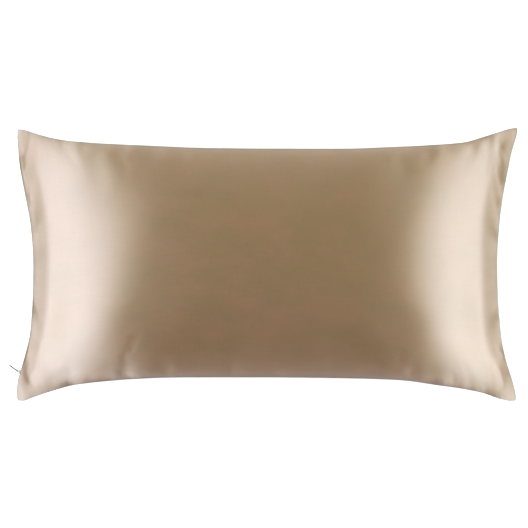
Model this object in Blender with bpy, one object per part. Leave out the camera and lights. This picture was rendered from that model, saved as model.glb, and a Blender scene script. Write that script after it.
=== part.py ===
"""A satin pillowcase on its pillow, zipped shut and lying on its back.

The front panel faces up (+Z), the long sides run along X and the zip closes the end at -X. The case is one
filled solid: front and back panel meet in a seam that is drawn in between four pointed corners, the front
crowns over the filling, and the back is pressed flat where it lies on the surface. The zip's slider sits on
the seam near one corner, with its pull standing out. Everything is in metres.
"""
import math
from collections import namedtuple

import bmesh
import bpy
import numpy as np
from mathutils import Matrix, Vector

# ---- The case: driving dimensions ----
CORNER_SPAN_X = 0.9029   # corner tip to corner tip along the long sides
CORNER_SPAN_Y = 0.4956   # corner tip to corner tip along the ends
SEAM_HEIGHT = 0.085      # of the seam over the surface, at the middle of a side
CORNER_DROOP = 0.026     # how much lower the empty corners hang than the seam between them
FRONT_CROWN = 0.093      # rise of the front panel over the seam
BACK_CROWN = 0.145       # drop of the back panel under the seam, before the surface stops it
PRESSED_BLEND = 0.012    # height over which the back curves up from the surface
SEAM_THICKNESS = 0.0018  # the two panels with their turnings, along the rim

# ---- How the front rises from the seam ----
SIDE_REACH = 0.208       # from a long seam to the middle
SIDE_FLATTENING = 2.4    # above 2 the middle is flatter than an ellipse
SIDE_STEEPNESS = 2.0     # above 2 the walls stand steeper than an ellipse
SIDE_LIP = 0.0045        # width of the flat lip along the long seams
LIP_SLOPE = 0.28         # height over width of the lip along an end, at the seam
ZIP_LIP_EASING = 0.20    # share of that slope which the lip loses by its inner side, at the zip
PLAIN_LIP_EASING = 0.50  # and at the plain end
ZIP_LIP_BEND = 0.010     # how softly that lip turns into the wall, at the zip
PLAIN_LIP_BEND = 0.014   # and at the plain end
EAR_RADIUS = 0.075       # reach of a corner's flat, hardly filled ear
EAR_FLATNESS = 0.55      # share of the rise that the ear lacks at its tip
RELIEF_RISE = 4.0        # folds and swells have their full depth from 1 / this share of the rise

# ---- The seam's inset from the span between the corners, at shares of each side ----
# head and foot are the long sides at +Y and -Y, read from -X; zip_end and plain_end are read from -Y.
SeamStation = namedtuple("SeamStation", "share head foot zip_end plain_end")
SEAM_STATIONS = (
    SeamStation(0.00, 0.0028, 0.0012, 0.0014, 0.0030),
    SeamStation(0.01, 0.0039, 0.0009, 0.0002, 0.0022),
    SeamStation(0.03, 0.0093, 0.0072, 0.0000, 0.0038),
    SeamStation(0.07, 0.0200, 0.0197, 0.0018, 0.0094),
    SeamStation(0.11, 0.0260, 0.0298, 0.0077, 0.0160),
    SeamStation(0.16, 0.0298, 0.0363, 0.0151, 0.0239),
    SeamStation(0.24, 0.0336, 0.0423, 0.0252, 0.0322),
    SeamStation(0.30, 0.0361, 0.0446, 0.0286, 0.0353),
    SeamStation(0.36, 0.0384, 0.0451, 0.0307, 0.0377),
    SeamStation(0.50, 0.0398, 0.0451, 0.0323, 0.0398),
    SeamStation(0.64, 0.0401, 0.0437, 0.0277, 0.0360),
    SeamStation(0.76, 0.0365, 0.0405, 0.0167, 0.0276),
    SeamStation(0.84, 0.0325, 0.0309, 0.0086, 0.0194),
    SeamStation(0.89, 0.0284, 0.0242, 0.0049, 0.0138),
    SeamStation(0.93, 0.0183, 0.0166, 0.0028, 0.0083),
    SeamStation(0.97, 0.0064, 0.0044, 0.0009, 0.0018),
    SeamStation(0.99, 0.0016, 0.0008, 0.0008, 0.0000),
    SeamStation(1.00, 0.0000, 0.0010, 0.0014, 0.0006),
)

# ---- The ends, at shares read from -Y ----
# The lip is the width just inside the seam that hardly rises, as the pillow doesn't reach into it; the reach is
# the distance from the seam at which the front lies level.
EndForm = namedtuple("EndForm", "share zip_lip plain_lip zip_reach plain_reach")
END_FORMS = (
    EndForm(0.00, 0.012, 0.010, 0.340, 0.350),
    EndForm(0.06, 0.020, 0.015, 0.336, 0.350),
    EndForm(0.13, 0.022, 0.027, 0.320, 0.324),
    EndForm(0.20, 0.022, 0.036, 0.305, 0.300),
    EndForm(0.28, 0.024, 0.038, 0.315, 0.305),
    EndForm(0.38, 0.026, 0.038, 0.348, 0.332),
    EndForm(0.50, 0.028, 0.036, 0.370, 0.350),
    EndForm(0.63, 0.029, 0.039, 0.383, 0.354),
    EndForm(0.74, 0.033, 0.040, 0.384, 0.352),
    EndForm(0.81, 0.034, 0.037, 0.384, 0.362),
    EndForm(0.90, 0.028, 0.034, 0.374, 0.366),
    EndForm(1.00, 0.016, 0.018, 0.360, 0.366),
)

# ---- How steeply the front climbs beyond the lip, as height over distance, at shares of the way to level ----
EndSlope = namedtuple("EndSlope", "share slope")
END_SLOPES = (
    EndSlope(0.00, 0.73),
    EndSlope(0.15, 0.65),
    EndSlope(0.23, 0.54),
    EndSlope(0.29, 0.44),
    EndSlope(0.33, 0.36),
    EndSlope(0.36, 0.30),
    EndSlope(0.40, 0.235),
    EndSlope(0.44, 0.18),
    EndSlope(0.49, 0.13),
    EndSlope(0.56, 0.08),
    EndSlope(0.70, 0.035),
    EndSlope(1.00, 0.00),
)

# ---- Creases: soft troughs in the front panel (a ridge where the depth is negative) ----
# x and y are the middle of the crease, heading is in degrees from +X.
Crease = namedtuple("Crease", "x y heading length width depth")
CREASES = (
    Crease(-0.432, -0.203, 70, 0.026, 0.012, 0.0045),   # tuck beside the zip's slider
    Crease(-0.372, -0.200, 24, 0.060, 0.011, 0.0030),   # along the foot seam by the zip corner
    Crease(-0.298, 0.176, 82, 0.055, 0.022, 0.0012),    # dent under the head seam
    Crease(-0.365, 0.205, 95, 0.022, 0.010, 0.0008),    # gathers by the first corner
    Crease(-0.330, 0.203, 92, 0.022, 0.010, 0.0008),
    Crease(0.398, 0.217, 60, 0.034, 0.009, 0.0030),     # folds that fan out of the far corner
    Crease(0.367, 0.208, 66, 0.026, 0.009, 0.0020),
    Crease(0.339, -0.209, -13, 0.085, 0.011, 0.0034),   # along the foot seam by the plain corner
    Crease(0.218, 0.196, 88, 0.030, 0.010, -0.0014),    # small ridge at the head seam
    Crease(0.236, 0.176, 75, 0.050, 0.022, 0.0006),
)

# ---- Puckers: the long seams gather the satin a little, square to the seam ----
# at is the place along X, reach how far the pucker runs in from the seam.
Pucker = namedtuple("Pucker", "side at reach width depth")
PUCKERS = (
    Pucker("head", -0.205, 0.024, 0.011, 0.0014),
    Pucker("head", -0.150, 0.030, 0.014, 0.0018),
    Pucker("head", -0.068, 0.028, 0.013, 0.0020),
    Pucker("head", -0.012, 0.022, 0.012, 0.0013),
    Pucker("head", 0.070, 0.030, 0.014, 0.0020),
    Pucker("head", 0.132, 0.024, 0.012, 0.0014),
    Pucker("head", 0.285, 0.028, 0.012, 0.0018),
    Pucker("foot", -0.255, 0.024, 0.012, 0.0016),
    Pucker("foot", -0.180, 0.032, 0.014, 0.0024),
    Pucker("foot", -0.118, 0.024, 0.011, 0.0015),
    Pucker("foot", -0.066, 0.036, 0.014, 0.0022),
    Pucker("foot", 0.012, 0.024, 0.012, 0.0014),
    Pucker("foot", 0.096, 0.032, 0.014, 0.0024),
    Pucker("foot", 0.175, 0.026, 0.012, 0.0018),
    Pucker("foot", 0.255, 0.030, 0.012, 0.0020),
)

# ---- Swells: where the filling lies a little fuller (or slacker, if negative) under the front ----
Swell = namedtuple("Swell", "x y radius height")
SWELLS = (
    Swell(-0.150, -0.110, 0.060, 0.0025),
    Swell(-0.195, -0.172, 0.070, 0.0060),
    Swell(-0.055, -0.125, 0.050, -0.0020),
    Swell(0.150, -0.115, 0.065, 0.0025),
    Swell(0.215, -0.178, 0.065, 0.0055),
    Swell(-0.285, -0.115, 0.060, 0.0025),
    Swell(0.230, -0.120, 0.055, -0.0025),
    Swell(-0.265, 0.110, 0.060, -0.0030),
    Swell(0.235, 0.120, 0.060, -0.0025),
    Swell(0.175, 0.172, 0.070, 0.0050),
    Swell(0.060, 0.060, 0.110, 0.0020),
)

# ---- The mesh of a panel: finer near the seams ----
COLUMNS = 60
ROWS = 36
SEAM_CROWDING = 0.62     # 0 spaces the lines evenly, towards 1 they crowd at the seams

# ---- The zip's slider and pull ----
ZIP_STOP_SHARE = 0.108   # where the closed zip ends, as a share of the end from -Y
SEAM_GAP = 0.0003
SLIDER_LENGTH = 0.0080   # along the seam
SLIDER_WIDTH = 0.0054    # across the seam, upright here
SLIDER_DEPTH = 0.0017    # out from the seam
SLIDER_TAIL = 0.72       # width of the slider's tail as a share of its nose
BRIDGE_LENGTH = 0.0056
BRIDGE_RISE = 0.0026
BRIDGE_WIDTH = 0.0016
BRIDGE_BAR = 0.0009
PULL_LENGTH = 0.0214
PULL_NECK = 0.0044       # width at the eye
PULL_TIP = 0.0054        # width near the free end
PULL_THICKNESS = 0.0012
EYE_LENGTH = 0.0034
EYE_WIDTH = 0.0026
EYE_STRIP = 0.0007       # metal left between the eye and the pull's inner end
EYE_PLAY = 0.0006        # between the bridge's bar and the inner end of the eye
PULL_TURN = -17.0        # degrees from square to the seam, seen from above
PULL_ROLL = 6.0          # degrees that its plane leans from upright, by the eye's play


def clear_scene():
    for obj in list(bpy.data.objects):
        bpy.data.objects.remove(obj, do_unlink=True)


def make_material(name, colour, roughness, metallic):
    material = bpy.data.materials.new(name)
    material.use_nodes = True
    shader = material.node_tree.nodes["Principled BSDF"]
    shader.inputs["Base Color"].default_value = (*colour, 1.0)
    shader.inputs["Roughness"].default_value = roughness
    shader.inputs["Metallic"].default_value = metallic
    return material


def add_object(name, bm, material, smooth=True):
    bmesh.ops.recalc_face_normals(bm, faces=bm.faces)
    mesh = bpy.data.meshes.new(name)
    bm.to_mesh(mesh)
    bm.free()
    mesh.materials.append(material)
    if smooth:
        mesh.shade_smooth()
        mesh.set_sharp_from_angle(angle=math.radians(40))
    obj = bpy.data.objects.new(name, mesh)
    bpy.context.scene.collection.objects.link(obj)
    return obj


# ---- The seam ----

def curve_through(stations, column):
    """A smooth curve through one column of a table of stations, which never overshoots between them."""
    at = np.array([station.share for station in stations])
    value = np.array([getattr(station, column) for station in stations])
    slope = np.diff(value) / np.diff(at)
    tangent = np.zeros(len(at))
    tangent[0] = slope[0]
    tangent[-1] = slope[-1]
    for i in range(1, len(at) - 1):
        if slope[i - 1] * slope[i] > 0:
            tangent[i] = 2 * slope[i - 1] * slope[i] / (slope[i - 1] + slope[i])

    def read(share):
        i = np.clip(np.searchsorted(at, share) - 1, 0, len(at) - 2)
        width = at[i + 1] - at[i]
        t = (share - at[i]) / width
        rest = 1 - t
        return (
            value[i] * (1 + 2 * t) * rest**2
            + value[i + 1] * (3 - 2 * t) * t**2
            + width * (tangent[i] * t * rest**2 - tangent[i + 1] * rest * t**2)
        )

    return read


HEAD_INSET = curve_through(SEAM_STATIONS, "head")
FOOT_INSET = curve_through(SEAM_STATIONS, "foot")
ZIP_END_INSET = curve_through(SEAM_STATIONS, "zip_end")
PLAIN_END_INSET = curve_through(SEAM_STATIONS, "plain_end")
ZIP_LIP = curve_through(END_FORMS, "zip_lip")
PLAIN_LIP = curve_through(END_FORMS, "plain_lip")
ZIP_REACH = curve_through(END_FORMS, "zip_reach")
PLAIN_REACH = curve_through(END_FORMS, "plain_reach")


def seam_sides(u, v):
    """The seam's place on the four sides of the point at shares u and v: zip end, plain end, foot and head."""
    zip_x = -CORNER_SPAN_X / 2 + ZIP_END_INSET(v)
    plain_x = CORNER_SPAN_X / 2 - PLAIN_END_INSET(v)
    foot_y = -CORNER_SPAN_Y / 2 + FOOT_INSET(u)
    head_y = CORNER_SPAN_Y / 2 - HEAD_INSET(u)
    return zip_x, plain_x, foot_y, head_y


def seam_height(u, v):
    """The height of the sheet that the seam spans: it droops towards the empty corners."""
    towards_corner = np.abs(2 * u - 1) ** 6 * np.abs(2 * v - 1) ** 3
    return SEAM_HEIGHT - CORNER_DROOP * towards_corner


# ---- The panels ----

def climb_of_ends():
    """The end walls' height, from 0 to 1, at even shares of the way from the lip to level."""
    shares = np.linspace(0, 1, 401)
    slopes = curve_through(END_SLOPES, "slope")(shares)
    heights = np.concatenate(([0], np.cumsum((slopes[1:] + slopes[:-1]) / 2)))
    return shares, heights / heights[-1]


CLIMB_SHARES, CLIMB_HEIGHTS = climb_of_ends()


def end_rise(distance, lip, reach, easing, bend):
    """0 at an end's seam, 1 beyond the reach: a gentle lip, then a wall that rounds over to level."""
    past_lip = distance - lip
    climbing = (past_lip + np.sqrt(past_lip**2 + bend**2)) / 2
    climbed = np.interp(climbing / (reach - lip), CLIMB_SHARES, CLIMB_HEIGHTS)
    lip_height = LIP_SLOPE * (1 - easing / 2) * lip / FRONT_CROWN
    lip_share = np.clip((distance - climbing) / lip, 0, 1)
    lip_climbed = lip_share * (1 - easing / 2 * lip_share) / (1 - easing / 2)
    return lip_height * lip_climbed + (1 - lip_height) * climbed


def side_rise(distance):
    """0 at a long seam, 1 beyond the reach: a narrow lip, then a steep wall that rounds over to level."""
    share = np.clip(distance / SIDE_REACH, 0, 1)
    lip_share = SIDE_LIP / SIDE_REACH
    climbed = share**3 / (share**2 + lip_share**2) * (1 + lip_share**2)
    return (1 - (1 - np.clip(climbed, 0, 1)) ** SIDE_FLATTENING) ** (1 / SIDE_STEEPNESS)


def ears(x, y):
    """1 over the filling, less towards each corner tip, where the two panels nearly meet."""
    from_corner = np.hypot(np.abs(x) - CORNER_SPAN_X / 2, np.abs(y) - CORNER_SPAN_Y / 2)
    return 1 - EAR_FLATNESS * np.exp(-((from_corner / EAR_RADIUS) ** 2))


def crease_depth(x, y):
    """The sum of the creases at a point of the front."""
    depth = np.zeros_like(x)
    for crease in CREASES:
        turn = math.radians(crease.heading)
        along = (x - crease.x) * math.cos(turn) + (y - crease.y) * math.sin(turn)
        across = (y - crease.y) * math.cos(turn) - (x - crease.x) * math.sin(turn)
        fade = np.exp(-((2 * along / crease.length) ** 2))
        depth += crease.depth * fade * np.exp(-((across / crease.width) ** 2))
    return depth


def pucker_depth(x, from_foot, from_head):
    """The sum of the seam's puckers: nothing on the seam, deepest just inside it, gone beyond the reach."""
    depth = np.zeros_like(x)
    for pucker in PUCKERS:
        inwards = np.maximum(from_head if pucker.side == "head" else from_foot, 0) / pucker.reach
        profile = 2.7 * inwards * np.exp(-2.7 * inwards**1.5)
        depth += 2 * pucker.depth * profile * np.exp(-(((x - pucker.at) / pucker.width) ** 2))
    return depth


def swell_height(x, y):
    height = np.zeros_like(x)
    for swell in SWELLS:
        distance = np.hypot(x - swell.x, y - swell.y)
        height += swell.height * np.exp(-((distance / swell.radius) ** 2))
    return height


def pressed_on_surface(z):
    """Stops the back at the surface: level where it lies, curving up over the blend."""
    bend = PRESSED_BLEND
    curved = (z + bend) ** 2 / (4 * bend)
    return np.where(z > bend, z, np.where(z > -bend, curved, 0.0))


def panel_points(u, v):
    """The plan place and both heights of the panels at shares u (along X) and v (along Y)."""
    zip_x, plain_x, foot_y, head_y = seam_sides(u, v)
    x = zip_x + (plain_x - zip_x) * u
    y = foot_y + (head_y - foot_y) * v
    from_foot = y - foot_y
    from_head = head_y - y
    fullness = (
        end_rise(x - zip_x, ZIP_LIP(v), ZIP_REACH(v), ZIP_LIP_EASING, ZIP_LIP_BEND)
        * end_rise(plain_x - x, PLAIN_LIP(v), PLAIN_REACH(v), PLAIN_LIP_EASING, PLAIN_LIP_BEND)
        * side_rise(from_foot)
        * side_rise(from_head)
        * ears(x, y)
    )
    seam_z = seam_height(u, v)
    relief = swell_height(x, y) - crease_depth(x, y) - pucker_depth(x, from_foot, from_head)
    shown = np.clip(RELIEF_RISE * fullness, 0, 1)
    front = seam_z + SEAM_THICKNESS / 2 + FRONT_CROWN * fullness + relief * shown
    back = pressed_on_surface(seam_z - SEAM_THICKNESS / 2 - BACK_CROWN * fullness)
    return x, y, front, back


def crowded_shares(count):
    """Shares from 0 to 1 that lie closer together towards both ends."""
    even = np.linspace(0, 1, count + 1)
    return even - SEAM_CROWDING * np.sin(2 * math.pi * even) / (2 * math.pi)


def build_case(material):
    """Front and back panel on one net of lines, joined along the seam's narrow rim."""
    u, v = np.meshgrid(crowded_shares(COLUMNS), crowded_shares(ROWS), indexing="ij")
    x, y, front, back = panel_points(u, v)
    bm = bmesh.new()

    def net(z):
        return [
            [bm.verts.new((x[i, j], y[i, j], z[i, j])) for j in range(ROWS + 1)]
            for i in range(COLUMNS + 1)
        ]

    top, bottom = net(front), net(back)
    for i in range(COLUMNS):
        for j in range(ROWS):
            bm.faces.new((top[i][j], top[i + 1][j], top[i + 1][j + 1], top[i][j + 1]))
            bm.faces.new((bottom[i][j], bottom[i][j + 1], bottom[i + 1][j + 1], bottom[i + 1][j]))
    rim = [(i, 0) for i in range(COLUMNS)] + [(COLUMNS, j) for j in range(ROWS)]
    rim += [(i, ROWS) for i in range(COLUMNS, 0, -1)] + [(0, j) for j in range(ROWS, 0, -1)]
    for (i, j), (k, m) in zip(rim, rim[1:] + rim[:1]):
        bm.faces.new((bottom[i][j], bottom[k][m], top[k][m], top[i][j]))
    return add_object("pillowcase", bm, material)


# ---- The zip's slider and pull ----

def zip_stop_frame():
    """A frame on the rim where the closed zip ends: +X out of the seam, +Y along it towards the foot."""
    share = np.array([ZIP_STOP_SHARE - 0.01, ZIP_STOP_SHARE, ZIP_STOP_SHARE + 0.01])
    edge = np.zeros(3)
    zip_x, _, foot_y, head_y = seam_sides(edge, share)
    y = foot_y + (head_y - foot_y) * share
    along = Vector((zip_x[2] - zip_x[0], y[2] - y[0], 0)).normalized()
    out = Vector((-along.y, along.x, 0))
    up = Vector((0, 0, 1))
    place = Matrix((out, -along, up)).transposed().to_4x4()
    place.translation = (zip_x[1], y[1], seam_height(edge, share)[1])
    return place


def prism(bm, outline, height, lift=0.0):
    """An outline in X and Y drawn up to a height, centred on Z at the lift."""
    low = [bm.verts.new((x, y, lift - height / 2)) for x, y in outline]
    face = bm.faces.new(low)
    drawn = bmesh.ops.extrude_face_region(bm, geom=[face])
    raised = [item for item in drawn["geom"] if isinstance(item, bmesh.types.BMVert)]
    bmesh.ops.translate(bm, verts=raised, vec=(0, 0, height))


def build_slider(material, place):
    """The slider's body, tapered to its tail, and the bridge on its outer face that carries the pull."""
    inner = SEAM_GAP
    outer = inner + SLIDER_DEPTH
    nose, tail = SLIDER_WIDTH / 2, SLIDER_WIDTH / 2 * SLIDER_TAIL
    front, rear = SLIDER_LENGTH / 2, -SLIDER_LENGTH / 2
    body = bmesh.new()
    prism(body, [(rear, -tail), (front, -nose), (front, nose), (rear, tail)], SLIDER_DEPTH, (inner + outer) / 2)
    # The outline lies along the seam and upright, and is drawn out of the seam.
    body.transform(Matrix(((0, 0, 1, 0), (1, 0, 0, 0), (0, 1, 0, 0), (0, 0, 0, 1))))
    bmesh.ops.recalc_face_normals(body, faces=body.faces)
    bmesh.ops.bevel(
        body, geom=list(body.edges), offset=0.0005, segments=2, profile=0.5, affect="EDGES", clamp_overlap=True
    )
    slider = add_object("zip_slider", body, material)

    arch = bmesh.new()
    half, bar = BRIDGE_LENGTH / 2, BRIDGE_BAR
    sunk = outer - 0.0006
    crest = outer + BRIDGE_RISE
    outline = [
        (sunk, -half), (crest - bar, -half), (crest, -half + bar), (crest, half - bar), (crest - bar, half),
        (sunk, half), (sunk, half - bar), (crest - bar, half - bar), (crest - bar, -half + bar),
        (sunk, -half + bar),
    ]
    prism(arch, outline, BRIDGE_WIDTH)
    bridge = add_object("bridge_of_slider", arch, material)
    bridge.hide_render = True
    bridge.display_type = "WIRE"
    joined = slider.modifiers.new("Bridge", "BOOLEAN")
    joined.operation = "UNION"
    joined.object = bridge
    for obj in (slider, bridge):
        obj.matrix_world = place
    return slider, bridge


def build_pull(material, place):
    """The drop-shaped pull: its plane is nearly upright, so that from above little but its edge shows."""
    bar_inner = SEAM_GAP + SLIDER_DEPTH + BRIDGE_RISE - BRIDGE_BAR
    start = bar_inner - EYE_PLAY - EYE_STRIP
    widths = (
        (0.00, PULL_NECK * 0.55), (0.04, PULL_NECK * 0.9), (0.12, PULL_NECK), (0.30, PULL_NECK * 0.86),
        (0.55, PULL_NECK * 1.08), (0.80, PULL_TIP), (0.93, PULL_TIP * 0.86), (1.00, PULL_TIP * 0.42),
    )
    tab = bmesh.new()
    lower = [(start + share * PULL_LENGTH, -width / 2) for share, width in widths]
    upper = [(x, -z) for x, z in reversed(lower)]
    prism(tab, lower + upper, PULL_THICKNESS)
    tab.transform(Matrix.Rotation(math.radians(90), 4, "X"))
    pull = add_object("zip_pull", tab, material)

    punch = bmesh.new()
    middle = start + EYE_STRIP + EYE_LENGTH / 2
    half, side, round_off = EYE_LENGTH / 2, EYE_WIDTH / 2, 0.0006
    ring = [
        (middle - half, side - round_off), (middle - half, round_off - side),
        (middle + round_off - half, -side), (middle + half - round_off, -side),
        (middle + half, round_off - side), (middle + half, side - round_off),
        (middle + half - round_off, side), (middle + round_off - half, side),
    ]
    prism(punch, ring, 3 * PULL_THICKNESS)
    punch.transform(Matrix.Rotation(math.radians(90), 4, "X"))
    eye = add_object("eye_of_pull", punch, material)
    eye.hide_render = True
    eye.display_type = "WIRE"
    cut = pull.modifiers.new("Eye", "BOOLEAN")
    cut.operation = "DIFFERENCE"
    cut.object = eye
    # It turns about the bridge's bar, the middle of which lies here.
    bar = Matrix.Translation((bar_inner + BRIDGE_BAR / 2, 0, 0))
    turn = Matrix.Rotation(math.radians(PULL_TURN), 4, "Z") @ Matrix.Rotation(math.radians(PULL_ROLL), 4, "X")
    turned = place @ bar @ turn @ bar.inverted()
    for obj in (pull, eye):
        obj.matrix_world = turned
    return pull, eye


def centre_on_origin(parts, helpers):
    """Parents everything to an empty, and moves that so that the part's box is centred over the origin."""
    bpy.context.view_layer.update()
    corners = [obj.matrix_world @ Vector(corner) for obj in parts for corner in obj.bound_box]
    low = Vector([min(corner[axis] for corner in corners) for axis in range(3)])
    high = Vector([max(corner[axis] for corner in corners) for axis in range(3)])
    root = bpy.data.objects.new("pillowcase_root", None)
    bpy.context.scene.collection.objects.link(root)
    for obj in (*parts, *helpers):
        obj.parent = root
    root.location = (-(low.x + high.x) / 2, -(low.y + high.y) / 2, 0)


def main():
    clear_scene()
    satin = make_material("satin", (0.42, 0.30, 0.18), 0.38, 0.0)
    nickel = make_material("nickel", (0.62, 0.60, 0.57), 0.30, 1.0)
    case = build_case(satin)
    place = zip_stop_frame()
    slider, bridge = build_slider(nickel, place)
    pull, eye = build_pull(nickel, place)
    centre_on_origin((case, slider, pull), (bridge, eye))


main()
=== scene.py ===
import math
from collections import namedtuple

import bmesh
import bpy
import numpy as np
from mathutils import Matrix, Vector


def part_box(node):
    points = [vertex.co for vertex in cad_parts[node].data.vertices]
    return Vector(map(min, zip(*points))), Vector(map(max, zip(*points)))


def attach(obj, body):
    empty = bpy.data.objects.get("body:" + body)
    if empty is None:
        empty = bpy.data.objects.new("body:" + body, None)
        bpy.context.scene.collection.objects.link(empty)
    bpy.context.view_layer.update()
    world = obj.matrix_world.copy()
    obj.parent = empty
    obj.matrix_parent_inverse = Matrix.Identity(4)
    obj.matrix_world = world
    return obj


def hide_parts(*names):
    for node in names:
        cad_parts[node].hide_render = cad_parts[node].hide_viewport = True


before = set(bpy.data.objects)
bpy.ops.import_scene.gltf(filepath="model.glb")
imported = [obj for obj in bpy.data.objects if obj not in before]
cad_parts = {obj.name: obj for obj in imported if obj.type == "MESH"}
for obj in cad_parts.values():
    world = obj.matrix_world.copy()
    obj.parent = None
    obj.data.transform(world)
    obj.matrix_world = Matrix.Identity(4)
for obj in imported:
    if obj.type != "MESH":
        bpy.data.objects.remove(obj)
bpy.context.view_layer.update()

# ---- The satin case -------------------------------------------------------------------------------------
# Two panels of caramel silk satin, sewn together inside out, turned, and filled with a pillow. The front
# crowns over the filling, the seam is drawn in between four pointed corners, and the back is pressed level
# where it lies.

case_low, case_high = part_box("pillowcase")
CASE_MIDDLE = (case_low + case_high) / 2
CORNER_SPAN_X = case_high.x - case_low.x
CORNER_SPAN_Y = case_high.y - case_low.y

# Heights: the seam over the surface, how far the filling lifts the front over the seam and pushes the back
# below it, and the bend where the back meets the surface.
SEAM_HEIGHT = 0.085
FRONT_CROWN = 0.093
BACK_CROWN = 0.145
PRESSED_BEND = 0.012

# Corners: how far the seam droops there, how late the droop begins along the case and across it, and the
# round patch at each tip that the filling hardly lifts.
CORNER_DROOP = 0.026
DROOP_POWER_X = 6
DROOP_POWER_Y = 3
EAR_RADIUS = 0.075
EAR_FLATNESS = 0.55

# Long sides: how far in from the seam the front lies level, the form of the wall up to there, and the lip
# beside the seam, where the satin hardly rises.
SIDE_REACH = 0.208
SIDE_FLATTENING = 2.4
SIDE_STEEPNESS = 2.0
SIDE_LIP = 0.0045

# Ends: how much the lip flattens on its way in, and the bend between the lip and the wall.
LIP_EASING = 0.60
ZIP_LIP_BEND = 0.007
PLAIN_LIP_BEND = 0.008

# Creases, puckers and swells show in full where the case is filled to a quarter of its height, which is 1
# over this rise. Between there and the seam the satin is a flap, and its creases fade in over this distance.
RELIEF_RISE = 4.0
FLAP_FADE = 0.007

# How far the seam lies inside the span between the corners, at shares of each side: head and foot are the
# long sides at +Y and -Y, read from -X, and the two ends are read from -Y.
SeamStation = namedtuple("SeamStation", "share head foot zip_end plain_end")
SEAM_STATIONS = (
    SeamStation(0.00, 0.0028, 0.0012, 0.0014, 0.0030),
    SeamStation(0.01, 0.0039, 0.0009, 0.0002, 0.0022),
    SeamStation(0.03, 0.0093, 0.0072, 0.0000, 0.0038),
    SeamStation(0.07, 0.0200, 0.0197, 0.0018, 0.0094),
    SeamStation(0.11, 0.0260, 0.0298, 0.0077, 0.0160),
    SeamStation(0.16, 0.0298, 0.0363, 0.0151, 0.0239),
    SeamStation(0.24, 0.0336, 0.0423, 0.0252, 0.0322),
    SeamStation(0.30, 0.0361, 0.0446, 0.0286, 0.0353),
    SeamStation(0.36, 0.0384, 0.0451, 0.0307, 0.0377),
    SeamStation(0.50, 0.0398, 0.0451, 0.0323, 0.0398),
    SeamStation(0.64, 0.0401, 0.0437, 0.0277, 0.0360),
    SeamStation(0.76, 0.0365, 0.0405, 0.0167, 0.0276),
    SeamStation(0.84, 0.0325, 0.0309, 0.0086, 0.0194),
    SeamStation(0.89, 0.0284, 0.0242, 0.0049, 0.0138),
    SeamStation(0.93, 0.0183, 0.0166, 0.0028, 0.0083),
    SeamStation(0.97, 0.0064, 0.0044, 0.0009, 0.0018),
    SeamStation(0.99, 0.0016, 0.0008, 0.0008, 0.0000),
    SeamStation(1.00, 0.0000, 0.0010, 0.0014, 0.0006),
)

# The ends, at shares read from -Y: the width of the lip just inside the seam, where the pillow doesn't reach
# into the case and it hardly rises, how steeply it rises at the seam, as height over distance, and the
# distance from the seam at which the front lies level.
EndForm = namedtuple("EndForm", "share zip_lip plain_lip zip_slope plain_slope zip_reach plain_reach")
END_FORMS = (
    EndForm(0.00, 0.012, 0.010, 0.280, 0.280, 0.340, 0.350),
    EndForm(0.06, 0.021, 0.014, 0.250, 0.205, 0.336, 0.350),
    EndForm(0.13, 0.027, 0.023, 0.250, 0.175, 0.320, 0.324),
    EndForm(0.20, 0.028, 0.031, 0.245, 0.215, 0.305, 0.300),
    EndForm(0.28, 0.029, 0.032, 0.265, 0.270, 0.315, 0.305),
    EndForm(0.38, 0.030, 0.031, 0.290, 0.275, 0.348, 0.332),
    EndForm(0.50, 0.030, 0.030, 0.315, 0.305, 0.370, 0.350),
    EndForm(0.63, 0.032, 0.033, 0.300, 0.295, 0.383, 0.354),
    EndForm(0.74, 0.035, 0.034, 0.280, 0.225, 0.384, 0.352),
    EndForm(0.81, 0.035, 0.032, 0.240, 0.205, 0.384, 0.362),
    EndForm(0.90, 0.029, 0.029, 0.235, 0.190, 0.374, 0.366),
    EndForm(1.00, 0.016, 0.018, 0.280, 0.280, 0.360, 0.366),
)

# How steeply the front climbs beyond the lip, as height over distance, at shares of the way to level.
EndSlope = namedtuple("EndSlope", "share slope")
END_SLOPES = (
    EndSlope(0.00, 0.73),
    EndSlope(0.15, 0.65),
    EndSlope(0.23, 0.54),
    EndSlope(0.29, 0.44),
    EndSlope(0.33, 0.36),
    EndSlope(0.36, 0.30),
    EndSlope(0.40, 0.235),
    EndSlope(0.44, 0.18),
    EndSlope(0.49, 0.13),
    EndSlope(0.56, 0.08),
    EndSlope(0.70, 0.035),
    EndSlope(1.00, 0.00),
)

# Soft creases: x and y are the middle, from the middle of the case, and heading is in degrees from +X. Where
# the pillow doesn't reach into a corner, both panels bend with them, as one flap.
Crease = namedtuple("Crease", "x y heading length width depth")
CREASES = (
    Crease(-0.425, -0.207, 72, 0.028, 0.013, 0.0030),
    Crease(-0.372, -0.200, 24, 0.060, 0.011, 0.0030),
    Crease(-0.301, 0.160, 104, 0.075, 0.017, 0.0014),
    Crease(-0.335, 0.188, 62, 0.030, 0.014, -0.0008),
    Crease(-0.365, 0.205, 95, 0.022, 0.010, 0.0003),
    Crease(-0.330, 0.203, 92, 0.022, 0.010, 0.0003),
    Crease(0.415, 0.212, 76, 0.036, 0.010, 0.0022),
    Crease(0.397, 0.218, 66, 0.026, 0.009, 0.0020),
    Crease(0.367, 0.208, 66, 0.026, 0.009, 0.0020),
    Crease(0.339, -0.209, -13, 0.085, 0.011, 0.0034),
    Crease(0.218, 0.196, 88, 0.030, 0.010, -0.0014),
    Crease(0.236, 0.176, 75, 0.050, 0.022, 0.0006),
)

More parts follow.
